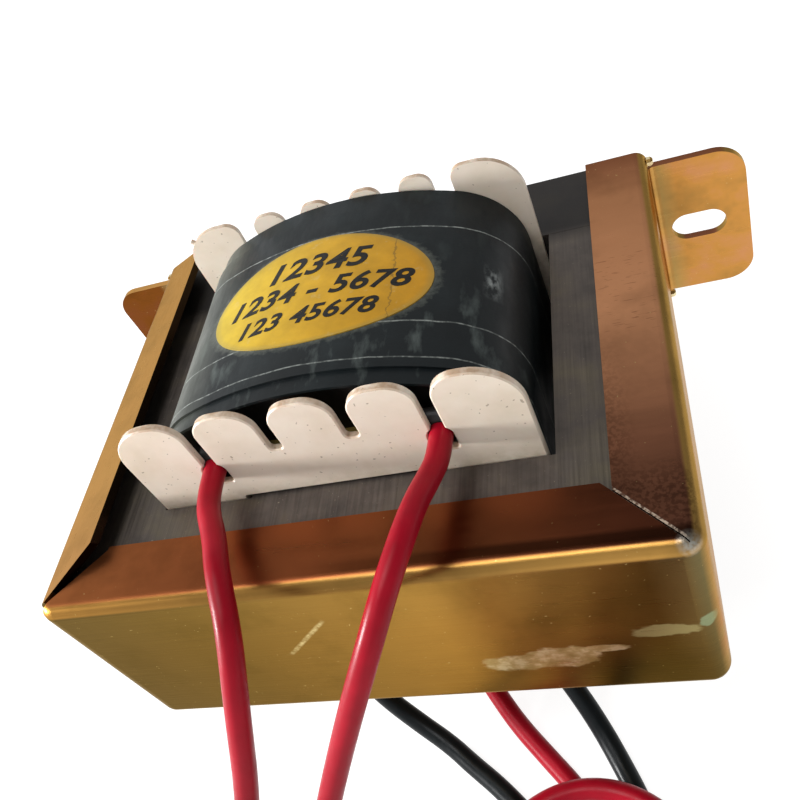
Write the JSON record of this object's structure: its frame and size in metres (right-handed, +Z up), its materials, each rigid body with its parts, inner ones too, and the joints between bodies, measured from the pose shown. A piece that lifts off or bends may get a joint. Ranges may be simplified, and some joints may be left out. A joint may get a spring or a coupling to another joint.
{
  "type": "laminated chassis transformer",
  "caption": "Chassis transformer: interleaved steel laminations in a folded frame with slotted mounting ears, a combed plastic bobbin, a taped coil and flying leads.",
  "frame": {"origin": "on the surface it lies on, under the middle of the steel frame and its ears", "axes": "+X along the line of the two mounting slots, +Y along the coil towards the mounting plane, +Z up through the stack of laminations"},
  "size_m": [0.0912, 0.1567, 0.0514],
  "materials": {
    "zinc_plated_steel": "yellow passivated, scuffed",
    "core_steel": "rolled silicon steel, dull",
    "cream_plastic": "moulded nylon, slightly dusty",
    "copper_wire": "enamelled copper",
    "clear_tape": "polyester tape",
    "sleeve_plastic": "soft sleeving",
    "dark_tape": "dark green black tape, satin",
    "yellow_label": "printed paper under film",
    "red_wire": "glossy insulation",
    "black_wire": "glossy insulation",
    "tinned_strands": "tinned copper strands"
  },
  "bodies": {
    "root": {"frame_strap": "zinc_plated_steel", "e_laminations": "core_steel", "i_laminations": "core_steel", "bobbin": "cream_plastic", "primary_winding": "copper_wire", "winding_insulation": "clear_tape", "secondary_winding": "copper_wire", "splice_sleeves": "sleeve_plastic", "inner_wrap": "dark_tape", "outer_wrap": "dark_tape", "label": "yellow_label", "primary_lead_left": "red_wire", "primary_lead_right": "red_wire", "secondary_lead_left": "black_wire", "secondary_lead_middle": "red_wire", "secondary_lead_right": "black_wire", "primary_tip_left": "tinned_strands", "primary_tip_right": "tinned_strands", "secondary_tip_left": "tinned_strands", "secondary_tip_middle": "tinned_strands", "secondary_tip_right": "tinned_strands"}
  },
  "joints": []
}
